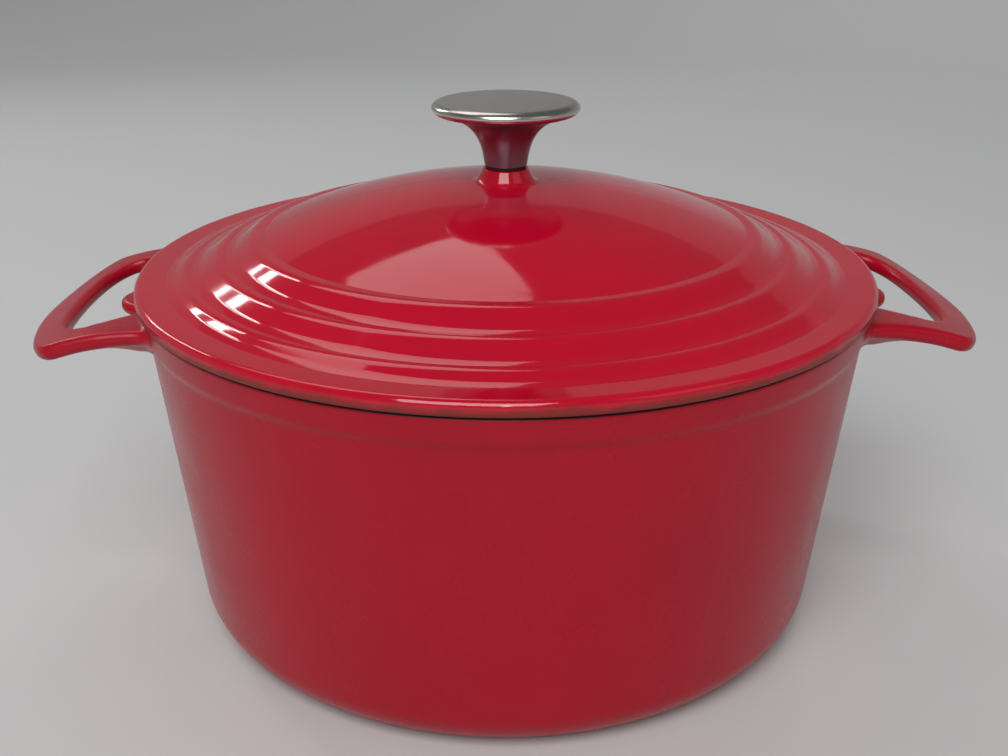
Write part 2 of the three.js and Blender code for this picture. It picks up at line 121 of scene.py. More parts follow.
class LidSizes(bpy.types.PropertyGroup):
    """The turned lid, with heights above its seat on the rim."""
    seat: length("Seat", "Height of the lid's underside", 119.3)
    radius: length("Radius", "Outer edge of the brim", 126)
    wall: length("Wall", "Thickness of the casting", 4.2)
    brim_height: length("Brim height", "Thickness of the brim", 5.0)
    brim_inner: length("Brim inner radius", "Foot of the first cove", 115.8)
    ledge_1_outer: length("Lower ledge outer radius", "Outside of the lower ring", 109.6)
    ledge_1_inner: length("Lower ledge inner radius", "Inside of the lower ring", 107.2)
    ledge_1_height: length("Lower ledge height", "Above the seat", 7.4)
    ledge_2_outer: length("Middle ledge outer radius", "Outside of the middle ring", 98.2)
    ledge_2_inner: length("Middle ledge inner radius", "Inside of the middle ring", 95.4)
    ledge_2_height: length("Middle ledge height", "Above the seat", 12.2)
    ledge_3_outer: length("Upper ledge outer radius", "Outside of the upper ring", 86.5)
    ledge_3_inner: length("Upper ledge inner radius", "Foot of the dome", 82.4)
    ledge_3_height: length("Upper ledge height", "Above the seat", 17.4)
    dome_height: length("Dome height", "Above the seat", 33.2)
    boss_height: length("Boss height", "Above the seat", 37.7)
    boss_radius: length("Boss radius", "Top of the boss", 7.7)
    bore: length("Bore", "Radius of the screw's hole", 3.35)
    flange_depth: length("Flange depth", "Locating ring below the seat", 4.8)
    flange_radius: length("Flange radius", "Outside of the locating ring", 118.2)
    flange_wall: length("Flange wall", "Thickness of the locating ring", 3.4)
    pad_depth: length("Pad depth", "Boss top down to the washer's pad", 8.7)
    pad_radius: length("Pad radius", "Flat pad for the washer", 9)


class KnobSizes(bpy.types.PropertyGroup):
    """The knob and its fixings."""
    foot: length("Foot", "Height of the stem's foot", 158.1)
    height: length("Height", "Foot to the top of the cap", 21.7)
    radius: length("Radius", "Outside of the cap", 25)
    wall: length("Wall", "Sheet thickness", 1.2)
    crown: length("Crown", "Rise of the cap's middle", 0.3)
    edge_width: length("Edge width", "Polished edge, seen from above", 3.5)
    edge_depth: length("Edge depth", "Polished edge, seen from the side", 4.4)
    stem_foot: length("Stem foot radius", "Where the stem stands on the gasket", 7.2)
    stem_neck: length("Stem neck radius", "Below the flare", 8.4)
    insert_radius: length("Insert radius", "Threaded bush in the stem", 5.8)
    insert_length: length("Insert length", "Length of the bush", 12)
    screw_radius: length("Screw radius", "Outside of the thread", 3)
    screw_pitch: length("Screw pitch", "Rise of the thread in one turn", 1)
    head_radius: length("Head radius", "Screw head", 5.4)
    head_height: length("Head height", "Screw head", 3.8)
    head_level: length("Head level", "Underside of the head", 144.7)
    screw_tip: length("Screw tip", "Height of the screw's end", 168.6)


class Finish(bpy.types.PropertyGroup):
    """Colours of the object and the stage."""
    lid_red: colour("Lid red", "Glossy enamel of the lid", "#C4082A")
    pot_red: colour("Pot red", "Enamel of the pot", "#B00724")
    thin_red: colour("Thin enamel", "Enamel where it runs thin over an edge", "#761C12")
    inside: colour("Inside", "Enamel inside the pot and lid", "#D9CDB8")
    rim: colour("Rim", "Bare rim and underside", "#0E0D0D")
    steel: colour("Steel", "Stainless knob", "#C9C4BE")
    # The stem's colour is darker and cooler than the cap's steel: painted shade and painted reflection, used
    # on the stem and under the cap's edge
    stem: colour("Stem", "Knob stem steel, darkened as painted shade", "#8F8E99")
    zinc: colour("Zinc", "Plated fixings", "#B4B7BB")
    rubber: colour("Gasket", "Gasket under the knob", "#1B1A19")
    floor: colour("Floor", "Floor and backdrop", "#CCCCCC")


class DutchOven(bpy.types.PropertyGroup):
    """Everything that can be set."""
    pot: bpy.props.PointerProperty(type=PotSizes, name="Pot", description="Sizes of the pot")
    handle: bpy.props.PointerProperty(type=HandleSizes, name="Handle", description="Sizes of the handles")
    lid: bpy.props.PointerProperty(type=LidSizes, name="Lid", description="Sizes of the lid")
    knob: bpy.props.PointerProperty(type=KnobSizes, name="Knob", description="Sizes of the knob")
    finish: bpy.props.PointerProperty(type=Finish, name="Finish", description="Colours")


def in_mm(group):
    """A group's lengths as plain numbers in millimetres."""
    return SimpleNamespace(**{key: getattr(group, key) / MM for key in group.__annotations__})


def arc(centre, radii, start, end, steps):
    """Points along an ellipse's arc, between two angles in degrees."""
    angles = [math.radians(start + (end - start) * k / steps) for k in range(steps + 1)]
    return [(centre[0] + radii[0] * math.cos(a), centre[1] + radii[1] * math.sin(a)) for a in angles]


def rounded(corners, finest=6):
    """Points along a profile of (radius, height, rounding) corners, turning at most `finest` degrees each."""
    points = []
    for i, (radius, height, rounding) in enumerate(corners):
        here = Vector((radius, height))
        if not rounding:
            points.append(here)
            continue
        back = (Vector(corners[i - 1][:2]) - here).normalized()
        ahead = (Vector(corners[(i + 1) % len(corners)][:2]) - here).normalized()
        half = back.angle(ahead) / 2
        centre = here + (back + ahead).normalized() * rounding / math.sin(half)
        start = here + back * rounding / math.tan(half) - centre
        end = here + ahead * rounding / math.tan(half) - centre
        first = math.atan2(start.y, start.x)
        turn = (math.atan2(end.y, end.x) - first + math.pi) % FULL_TURN - math.pi
        steps = max(2, math.ceil(math.degrees(abs(turn)) / finest))
        points += arc(centre, (rounding, rounding), math.degrees(first), math.degrees(first + turn), steps)
    return points


def verts_in(geom):
    """The vertices in what an operator gives back."""
    return [item for item in geom if isinstance(item, bmesh.types.BMVert)]


def edges_in(geom):
    """The edges in what an operator gives back."""
    return [item for item in geom if isinstance(item, bmesh.types.BMEdge)]


def turned(bm, points, steps, closed=False, angle=FULL_TURN, rise=0, material=0):
    """Spins a profile of (radius, height) points round the upright axis, and caps it where it stops short."""
    before = set(bm.faces)
    verts = [bm.verts.new((point[0], 0, point[1])) for point in points]
    pairs = list(zip(verts, verts[1:]))
    if closed:
        pairs.append((verts[-1], verts[0]))
    edges = [bm.edges.new(pair) for pair in pairs]
    whole = angle == FULL_TURN
    spun = bmesh.ops.spin(bm, geom=verts + edges, cent=(0, 0, 0), axis=(0, 0, 1), dvec=(0, 0, rise),
                          angle=angle, steps=steps, use_merge=whole)
    if not whole:
        bmesh.ops.contextual_create(bm, geom=edges)
        bmesh.ops.contextual_create(bm, geom=edges_in(spun["geom_last"]))
    for face in bm.faces:
        if face not in before:
            face.material_index = material


def place(bm, name, body, node, materials):
    """Makes the piece from a mesh in millimetres, ties it to its body, and hides the node it replaces."""
    bmesh.ops.remove_doubles(bm, verts=bm.verts, dist=0.002)
    bmesh.ops.dissolve_degenerate(bm, dist=0.001, edges=bm.edges)
    bmesh.ops.recalc_face_normals(bm, faces=bm.faces)
    bmesh.ops.scale(bm, vec=(MM, MM, MM), verts=bm.verts)
    for face in bm.faces:
        face.smooth = True
    mesh = bpy.data.meshes.new(name)
    bm.to_mesh(mesh)
    bm.free()
    if not mesh.polygons:
        raise RuntimeError(name + " has no faces")
    mesh.set_sharp_from_angle(angle=SHARP_EDGE)
    for material in materials:
        mesh.materials.append(material)
    piece = bpy.data.objects.new(name, mesh)
    bpy.context.scene.collection.objects.link(piece)
    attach(piece, body)
    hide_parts(node)


def add(tree, kind, inputs=None, **settings):
    """Adds a node. An input is a value, or the socket that feeds it."""
    node = tree.nodes.new("ShaderNode" + kind)
    for key, value in settings.items():
        setattr(node, key, value)
    for key, value in (inputs or {}).items():
        if isinstance(value, bpy.types.NodeSocket):
            tree.links.new(value, node.inputs[key])
        else:
            node.inputs[key].default_value = value
    return node


def blank(name):
    """An empty material and its node tree."""
    material = bpy.data.materials.new(name)
    material.use_nodes = True
    material.node_tree.nodes.clear()
    return material, material.node_tree


def red_enamel(name, red, thin, gloss, haze, ior, edge, wave):
    """Vitreous enamel, fused on iron: a deep red glass coat, faintly clouded and wavy, with sparse specks.

    Below the edge height it runs thin, browner and duller.
    """
    material, tree = blank(name)
    here = add(tree, "TexCoord").outputs["Object"]
    clouds = add(tree, "TexNoise", {"Vector": here, "Scale": 1 / (50 * MM), "Detail": 3.0}).outputs[0]
    shade = [channel * 0.78 for channel in red[:3]] + [1.0]
    body = add(tree, "Mix", {0: clouds, 6: shade, 7: red}, data_type="RGBA").outputs[2]
    specks = add(tree, "TexVoronoi", {"Vector": here, "Scale": 1 / (16 * MM)})
    spread = specks.outputs["Distance"]
    dot = add(tree, "MapRange", {0: spread, 1: 0.012, 2: 0.022, 3: 1.0, 4: 0.0}).outputs[0]
    few = add(tree, "MapRange", {0: specks.outputs["Color"], 1: 0.62, 2: 0.68}).outputs[0]
    mark = add(tree, "Math", {0: dot, 1: few}, operation="MULTIPLY").outputs[0]
    spotted = add(tree, "Mix", {0: mark, 6: body, 7: thin}, data_type="RGBA").outputs[2]
    height = add(tree, "SeparateXYZ", {0: here}).outputs["Z"]
    ragged = add(tree, "TexNoise", {"Vector": here, "Scale": 1 / (9 * MM), "Detail": 3.0}).outputs[0]
    swing = 1.2 * MM
    level = add(tree, "MapRange", {0: ragged, 1: 0.2, 2: 0.8, 3: edge - swing, 4: edge + swing}).outputs[0]
    depth = add(tree, "Math", {0: level, 1: height}, operation="SUBTRACT").outputs[0]
    worn = add(tree, "MapRange", {0: depth, 1: 0.0, 2: 2.5 * MM, 4: 0.9},
               interpolation_type="SMOOTHSTEP").outputs[0]
    edged = add(tree, "Mix", {0: worn, 6: spotted, 7: thin}, data_type="RGBA").outputs[2]
    smear = add(tree, "TexNoise", {"Vector": here, "Scale": 1 / (30 * MM), "Detail": 4.0}).outputs[0]
    glaze = add(tree, "MapRange", {0: smear, 1: 0.35, 2: 0.7, 3: gloss, 4: haze}).outputs[0]
    rough = add(tree, "Mix", {0: worn, 2: glaze, 3: 0.5}).outputs[0]
    waves = add(tree, "TexNoise", {"Vector": here, "Scale": 1 / (12 * MM), "Detail": 1.0}).outputs[0]
    bump = add(tree, "Bump", {"Height": waves, "Strength": wave, "Distance": 0.15 * MM}).outputs[0]
    shader = add(tree, "BsdfPrincipled", {
        "Base Color": edged, "Roughness": rough, "Normal": bump, "IOR": ior})
    add(tree, "OutputMaterial", {"Surface": shader.outputs[0]})
    return material


def plain(name, base, roughness, metallic=0.0, grain=0.0):
    """An even finish, with a fine grain in its roughness where one is given."""
    material, tree = blank(name)
    shader = add(tree, "BsdfPrincipled", {"Base Color": base, "Roughness": roughness, "Metallic": metallic})
    if grain:
        here = add(tree, "TexCoord").outputs["Object"]
        noise = add(tree, "TexNoise", {"Vector": here, "Scale": 1 / (2 * MM), "Detail": 4.0}).outputs[0]
        rough = add(tree, "MapRange", {0: noise, 1: 0.3, 2: 0.7, 3: roughness - grain, 4: roughness + grain})
        tree.links.new(rough.outputs[0], shader.inputs["Roughness"])
    add(tree, "OutputMaterial", {"Surface": shader.outputs[0]})
    return material


def cap_steel(base, satin_end, polish_start):
    """Stainless steel with a satin top, brushed round and round, that turns into a polished edge."""
    material, tree = blank("satin and polished stainless steel")
    here = add(tree, "TexCoord").outputs["Object"]
    flat = add(tree, "VectorMath", {0: here, 1: (1, 1, 0)}, operation="MULTIPLY").outputs[0]
    radius = add(tree, "VectorMath", {0: flat}, operation="LENGTH").outputs["Value"]
    rings = add(tree, "TexNoise", {"W": radius, "Scale": 1 / (0.4 * MM), "Detail": 3.0},
                noise_dimensions="1D")
    satin = add(tree, "MapRange", {0: rings.outputs[0], 1: 0.3, 2: 0.7, 3: 0.3, 4: 0.42}).outputs[0]
    edge = add(tree, "MapRange", {0: radius, 1: satin_end, 2: polish_start}, interpolation_type="SMOOTHSTEP")
    rough = add(tree, "Mix", {0: edge.outputs[0], 2: satin, 3: 0.22}).outputs[0]
    shader = add(tree, "BsdfPrincipled", {"Base Color": base, "Metallic": 1.0, "Roughness": rough})
    add(tree, "OutputMaterial", {"Surface": shader.outputs[0]})
    return material


def fillet(distance, radius):
    """How far a surface has swung outward at this distance from the wall it runs into."""
    gap = min(max(radius - distance, 0), radius)
    return radius - math.sqrt(radius ** 2 - gap ** 2)


def wall_radius(pot, height):
    """Outside of the pot at a height, with its band swelling out over 3 mm."""
    taper = pot.base_radius + (pot.rim_radius - pot.base_radius) * height / pot.height
    step = min(max((height - pot.height + pot.band_height) / 3 + 0.5, 0), 1)
    return taper + pot.band_proud * step ** 2 * (3 - 2 * step)


def strap(half_width, half_height, corner):
    """A rounded strap's cross-section as (across, up) points with their outward directions."""
    points = []
    flats = 8
    for side, up, start in ((1, 1, 0), (-1, 1, 90), (-1, -1, 180), (1, -1, 270)):
        for k in range(7):
            angle = math.radians(start + 15 * k)
            out = Vector((math.cos(angle), math.sin(angle)))
            middle = Vector((side * (half_width - corner), up * (half_height - corner)))
            points.append((middle + corner * out, out))
        if start in (0, 180):
            for k in range(1, flats):
                across = side * (half_width - corner) * (1 - 2 * k / flats)
                points.append((Vector((across, up * half_height)), Vector((0, up))))
    return points


def handle_stations(pot, handle):
    """Matching points on the outer and inner edge of half a loop, from the middle of the grip to the wall."""
    tip = pot.rim_radius + handle.reach
    half = handle.width / 2
    shoulder = pot.rim_radius + handle.arm_length
    corner = shoulder - 11
    inner = half - handle.arm
    root = half - handle.arm_root
    bar = tip - handle.bar
    grip_pull, shoulder_pull = 11.5, 8.5
    bar_pull, corner_pull = inner * 0.74, 9
    curve_steps = 25
    outside = interpolate_bezier(
        (tip, 0, 0), (tip, grip_pull, 0),
        (shoulder + shoulder_pull, half, 0), (shoulder, half, 0), curve_steps)
    inside = interpolate_bezier(
        (bar, 0, 0), (bar, bar_pull, 0),
        (corner + corner_pull, inner, 0), (corner, inner, 0), curve_steps)
    stations = list(zip(outside, inside))
    wall = wall_radius(pot, pot.height - handle.below_rim - handle.thickness / 2)
    outer_end = math.sqrt(wall ** 2 - half ** 2)
    inner_end = math.sqrt(wall ** 2 - root ** 2)
    arm_steps = 24
    crowding = 1.7  # brings the stations closer together towards the wall
    for k in range(1, arm_steps + 1):
        done = 1 - (1 - k / arm_steps) ** crowding
        out_x = shoulder + (outer_end - shoulder) * done
        in_x = corner + (inner_end - corner) * done
        slope = min(1, (corner - in_x) / (corner - pot.rim_radius + 2))
        stations.append((Vector((out_x, half, 0)), Vector((in_x, inner + (root - inner) * slope, 0))))
    outer, inner = stations[-1]
    sunk_depths = (0.9, 2.1, 3.4)
    for depth in sunk_depths:
        stations.append((outer - Vector((depth, 0, 0)), inner - Vector((depth, 0, 0))))
    return stations


def handle_ring(pot, handle, outer, inner):
    """One ring of points round the strap, bent down with the droop and flared into the wall."""
    top = pot.height - handle.below_rim
    middle = (outer + inner) / 2
    across = (outer - inner).normalized()
    bend_lead = 6
    bend_start = pot.rim_radius - bend_lead
    span = handle.reach + bend_lead
    keel_start = pot.rim_radius - pot.wall
    keel_half_width, keel_fade = 8, 1.6
    top_fillet, under_fillet = 1.2, 2
    points = []
    for (side, up), out in strap((outer - inner).length / 2, handle.thickness / 2, handle.edge):
        flat = middle + across * side
        past = max(0, flat.x - bend_start)
        drop = handle.droop * (past / span) ** 2
        slope = math.atan(2 * handle.droop * past / span ** 2)
        height = top - handle.thickness / 2 - drop + up * math.cos(slope)
        spot = Vector((flat.x + up * math.sin(slope), flat.y, height))
        if out.y < -0.5:
            fade = min(max(1 - (flat.x - keel_start) / (pot.wall + handle.keel_length), 0), 1)
            spot.z -= handle.keel_depth * fade ** keel_fade * max(0, 1 - (side / keel_half_width) ** 2) ** 2
        gap = spot.xy.length - wall_radius(pot, spot.z)
        sides = handle.fillet * (1 - abs(out.y))
        swing = fillet(gap, max(sides, top_fillet if out.y > 0 else under_fillet))
        spot += (across * out.x + Vector((0, 0, out.y))) * swing
        points.append(spot)
    return points


def add_handle(bm, pot, handle):
    """Half a loop handle from rings, mirrored to a whole one."""
    loops = []
    for outer, inner in handle_stations(pot, handle):
        verts = [bm.verts.new(point) for point in handle_ring(pot, handle, outer, inner)]
        loops.append([bm.edges.new(pair) for pair in zip(verts, verts[1:] + verts[:1])])
    for near, far in zip(loops, loops[1:]):
        bmesh.ops.bridge_loops(bm, edges=near + far)
    bmesh.ops.contextual_create(bm, geom=loops[-1])
    # Softens the root, from a little inside the wall to beyond the fillet
    sunk, blend = -1.8, 14
    root = [vert for vert in bm.verts if sunk < vert.co.xy.length - wall_radius(pot, vert.co.z) < blend]
    for repeat in range(8):
        bmesh.ops.smooth_vert(bm, verts=root, factor=0.5, use_axis_x=True, use_axis_y=True, use_axis_z=True)
    half_loop = bm.verts[:] + bm.edges[:] + bm.faces[:]
    bmesh.ops.mirror(bm, geom=half_loop, matrix=Matrix(), merge_dist=0.01, axis="Y")


def add_lug(bm, pot, handle):
    """The short half-oval tab between a handle's arms, cut off inside the wall."""
    before = set(bm.faces)
    disc = bmesh.ops.create_circle(bm, cap_ends=True, segments=64, radius=1)["verts"]
    low = pot.height - handle.lug_below_rim - handle.lug_thickness
    bmesh.ops.scale(bm, verts=disc, vec=(pot.wall + handle.lug_proud, handle.lug_length / 2, 1))
    bmesh.ops.translate(bm, verts=disc, vec=(pot.rim_radius - pot.wall, 0, low))
    sides = list(disc[0].link_faces[0].edges)
    grown = bmesh.ops.extrude_face_region(bm, geom=list(disc[0].link_faces))["geom"]
    bmesh.ops.translate(bm, verts=verts_in(grown), vec=(0, 0, handle.lug_thickness))
    bmesh.ops.contextual_create(bm, geom=sides)
    bmesh.ops.bevel(bm, geom=sides + edges_in(grown), offset=2, offset_type="OFFSET", segments=5, profile=0.5,
                    affect="EDGES", material=-1)
    faces = [face for face in bm.faces if face not in before]
    edges = {edge for face in faces for edge in face.edges}
    verts = {vert for face in faces for vert in face.verts}
    cut = bmesh.ops.bisect_plane(bm, geom=list(verts) + list(edges) + faces, dist=0.001,
                                 plane_co=(pot.rim_radius - pot.wall / 2, 0, 0), plane_no=(1, 0, 0),
                                 clear_inner=True)["geom_cut"]
    bmesh.ops.contextual_create(bm, geom=edges_in(cut))


class BuildPot(bpy.types.Operator):
    """Turns the pot, and gives it its handles and lugs."""
    bl_idname = "dutch_oven.build_pot"
    bl_label = "Build Pot"

    def execute(self, context):
        setup = context.scene.dutch_oven
        pot = in_mm(setup.pot)
        handle = in_mm(setup.handle)
        finish = setup.finish
        bm = bmesh.new()
        add_handle(bm, pot, handle)
        add_lug(bm, pot, handle)
        twin = bmesh.ops.duplicate(bm, geom=bm.verts[:] + bm.edges[:] + bm.faces[:])["geom"]
        half_turn = Matrix.Rotation(math.pi, 3, "Z")
        bmesh.ops.rotate(bm, verts=verts_in(twin), cent=(0, 0, 0), matrix=half_turn)
        rim = wall_radius(pot, pot.height)
        lip = pot.rim_radius - pot.wall
        start = pot.base_corner + 6
        under_rim = pot.height - 2 * pot.rim_round
        side_steps = 90
        heights = [start + (under_rim - start) * k / side_steps for k in range(side_steps + 1)]
        side = [(wall_radius(pot, height), height) for height in heights]
        foot = rounded([
            (0, pot.foot_recess, 0),
            (pot.foot_radius - pot.foot_recess, pot.foot_recess, 0.3),
            (pot.foot_radius, 0, 0.3),
            (pot.base_radius, 0, pot.base_corner),
            side[0] + (0,),
        ], finest=4)
        brow = rounded([
            side[-1] + (0,),
            (rim, pot.height, pot.rim_round),
            (lip, pot.height, pot.rim_round),
            (pot.base_radius - pot.wall, pot.floor, 0),
        ])
        lining = rounded([
            brow[-2] + (0,),
            (pot.base_radius - pot.wall, pot.floor, pot.cavity_corner),
            (0, pot.floor, 0),
        ])
        # The black coat covers the hollow of the foot, and the rim from half-way round its outer edge
        hollow_end = 8
        shoulder = len(brow) // 4
        turned(bm, foot[:hollow_end], CASTING_STEPS, material=1)
        turned(bm, brow[shoulder - 1:-1], CASTING_STEPS, material=1)
        turned(bm, lining, CASTING_STEPS, material=2)
        turned(bm, foot[hollow_end - 1:-1] + side + brow[1:shoulder], CASTING_STEPS)
        place(bm, "pot_casting", "pot", "pot", [
            # Worn by use and washing: its sheen is broad and soft
            red_enamel("satin red enamel", finish.pot_red, finish.thin_red,
                       gloss=0.24, haze=0.34, ior=1.35, edge=0.0, wave=0.08),
            # A thin ground coat straight on the iron, which swallows the light
            plain("matt black rim", finish.rim, 0.75, grain=0.08),
            # A pale glaze, smooth enough to show soft highlights
            plain("sand enamel", finish.inside, 0.18, grain=0.05),
        ])
        return {"FINISHED"}


class BuildLid(bpy.types.Operator):
    """Turns the lid with its rings, dome, boss and locating flange."""
    bl_idname = "dutch_oven.build_lid"
    bl_label = "Build Lid"

    def execute(self, context):
        setup = context.scene.dutch_oven
        lid = in_mm(setup.lid)
        finish = setup.finish
        seat = lid.seat
        ledges = [
            (lid.ledge_1_outer, lid.ledge_1_inner, lid.ledge_1_height),
            (lid.ledge_2_outer, lid.ledge_2_inner, lid.ledge_2_height),
            (lid.ledge_3_outer, lid.ledge_3_inner, lid.ledge_3_height),
        ]
        crease = 0.5
        brim_fall = 0.3
        cove_width, cove_rise, cove_round = 2.6, 0.7, 7
        ledge_round = 5.5
        top = [
            (lid.flange_radius, seat, 0),
            (lid.radius, seat, 1.3),
            (lid.radius, seat + lid.brim_height, 2.2),
            (lid.brim_inner, seat + lid.brim_height - brim_fall, crease),
        ]
        foot, level = lid.brim_inner, lid.brim_height - brim_fall
        for outer, inner, height in ledges:
            top.append((foot - cove_width, seat + level + cove_rise, cove_round))
            top.append((outer, seat + height, ledge_round))
            top.append((inner, seat + height, crease))
            foot, level = inner, height
        rise = lid.dome_height - lid.ledge_3_height
        dome = (lid.ledge_3_inner ** 2 + rise ** 2) / (2 * rise)
        middle = seat + lid.dome_height - dome

        def dome_points(radius, start, end, steps):
            """Points along a dome of this radius, between two distances from the axis."""
            spots = [start + (end - start) * k / steps for k in range(steps + 1)]
            return [(spot, middle + math.sqrt(radius ** 2 - spot ** 2)) for spot in spots]

        # Each stretch borrows a point of its neighbour, so that the corner between them is rounded too
        outside = dome_points(dome, lid.ledge_3_inner, lid.boss_radius + 5.5, 40)
        top.append(outside[2] + (0,))
        boss = seat + lid.boss_height
        collar = lid.boss_radius + 2.5
        neck = rounded([
            outside[-2] + (0,),
            (collar, middle + math.sqrt(dome ** 2 - collar ** 2), 3),
            (lid.boss_radius, boss, 0.6),
            (lid.bore, boss, 0.2),
            (lid.bore, boss - lid.pad_depth, 0.2),
            (lid.pad_radius, boss - lid.pad_depth, 0.4),
            (lid.pad_radius + 0.6, boss - lid.pad_depth + 0.3, 0),
        ])
        inside = dome_points(dome - lid.wall, lid.pad_radius + 2, lid.ledge_3_inner - lid.wall, 30)
        under = [((outer + inner) / 2 - lid.wall / 4, seat + height - lid.wall, 3)
                 for outer, inner, height in reversed(ledges)]
        flange = seat - lid.flange_depth
        low = rounded([inside[-2] + (0,)] + under + [
            (lid.flange_radius - lid.flange_wall, seat - 0.4, 1.5),
            (lid.flange_radius - lid.flange_wall, flange, 1.2),
            (lid.flange_radius, flange, 1.2),
            (lid.flange_radius, seat, 0),
        ])
        rings = rounded(top)
        # The seat's black coat goes a little way round the brim's lower edge, and the red one over the boss
        seat_end = 6
        neck_end = 2 + max(k for k, point in enumerate(neck) if point[1] > boss - 0.05)
        bm = bmesh.new()
        turned(bm, rings[:seat_end], CASTING_STEPS, material=1)
        turned(bm, rings[seat_end - 1:-1] + outside[2:-2] + neck[1:neck_end], CASTING_STEPS)
        turned(bm, neck[neck_end - 1:] + inside[:-2] + low[1:-1] + rings[:1], CASTING_STEPS, material=2)
        place(bm, "lid_casting", "lid", "lid", [
            # Still as glossy as glass: it mirrors the panes and the backdrop
            red_enamel("glossy red enamel", finish.lid_red, finish.thin_red,
                       gloss=0.05, haze=0.1, ior=1.5, edge=(seat + 3.6) * MM, wave=0.2),
            # A thin ground coat straight on the iron, which swallows the light
            plain("matt black seat", finish.rim, 0.75, grain=0.08),
            # A pale glaze, smooth enough to show soft highlights
            plain("sand enamel under the lid", finish.inside, 0.18, grain=0.05),
        ])
        return {"FINISHED"}


class BuildKnob(bpy.types.Operator):
    """Turns the knob's cap, stem and threaded insert."""
    bl_idname = "dutch_oven.build_knob"
    bl_label = "Build Knob"

    def execute(self, context):
        setup = context.scene.dutch_oven
        knob = in_mm(setup.knob)
        finish = setup.finish
        top = knob.foot + knob.height
        bead = (knob.radius - knob.edge_width, top - knob.crown - knob.edge_depth / 2)
        radii = (knob.edge_width, knob.edge_depth / 2)
        hollow = (knob.edge_width - knob.wall, knob.edge_depth / 2 - knob.wall)
        crown_steps = 12
        crown = [(bead[0] * k / crown_steps, top - knob.crown * (k / crown_steps) ** 2)
                 for k in range(crown_steps)]
        ceiling = [(r, z - knob.wall) for r, z in reversed(crown)]
        # Polished, then dulled by handling: it takes up the red of the lid in soft streaks. Its base is
        # darker and cooler than the cap's steel: painted shade and painted reflection, on the stem and under
        # the cap's edge
        shaded_steel = plain("polished stainless steel", finish.stem, 0.33, metallic=1.0, grain=0.03)
        under = arc(bead, radii, -30, -90, 10) + arc(bead, hollow, -90, 90, 16) + ceiling
        bm = bmesh.new()
        turned(bm, crown + arc(bead, radii, 90, -30, 20), KNOB_STEPS)
        # The cap's underside takes the darker stem steel: painted shade under the cap's edge
        turned(bm, under, KNOB_STEPS, material=1)
        place(bm, "knob_cap_steel", "knob", "knob_cap", [
            cap_steel(finish.steel, (knob.radius - 2.8) * MM, (knob.radius - 1.6) * MM),
            shaded_steel,
        ])

        brim = bead[0] - 0.3
        lip = bead[1] - knob.edge_depth / 2
        flare = interpolate_bezier(
            (knob.stem_foot, knob.foot, 0), (knob.stem_neck, knob.foot + 7, 0),
            (knob.stem_neck + 0.8, lip - 3.4, 0), (brim, lip, 0), 40)
        outside = [(point.x, point.y) for point in flare]
        turned_up = [(brim, lip + 1.6), (brim - knob.wall, lip + 1.6)]
        inside = [(r - knob.wall * 0.9, z + knob.wall * 0.5) for r, z in reversed(outside[1:])]
        bm = bmesh.new()
        heel = [(knob.stem_foot - knob.wall, knob.foot)]
        turned(bm, outside + turned_up + inside + heel, KNOB_STEPS, closed=True)
        place(bm, "knob_stem_steel", "knob", "knob_stem", [shaded_steel])

        bore = knob.screw_radius + 0.35
        high = knob.foot + knob.insert_length
        bm = bmesh.new()
        turned(bm, rounded([
            (bore, knob.foot, 0.4), (knob.insert_radius, knob.foot, 0.5),
            (knob.insert_radius, high, 0.5), (bore, high, 0.4)]), FIXING_STEPS, closed=True)
        place(bm, "knob_insert_bush", "knob", "knob_insert", [
            # A cool grey plate with a slightly uneven shine
            plain("zinc-plated insert", finish.zinc, 0.3, metallic=1.0, grain=0.06)])
        return {"FINISHED"}


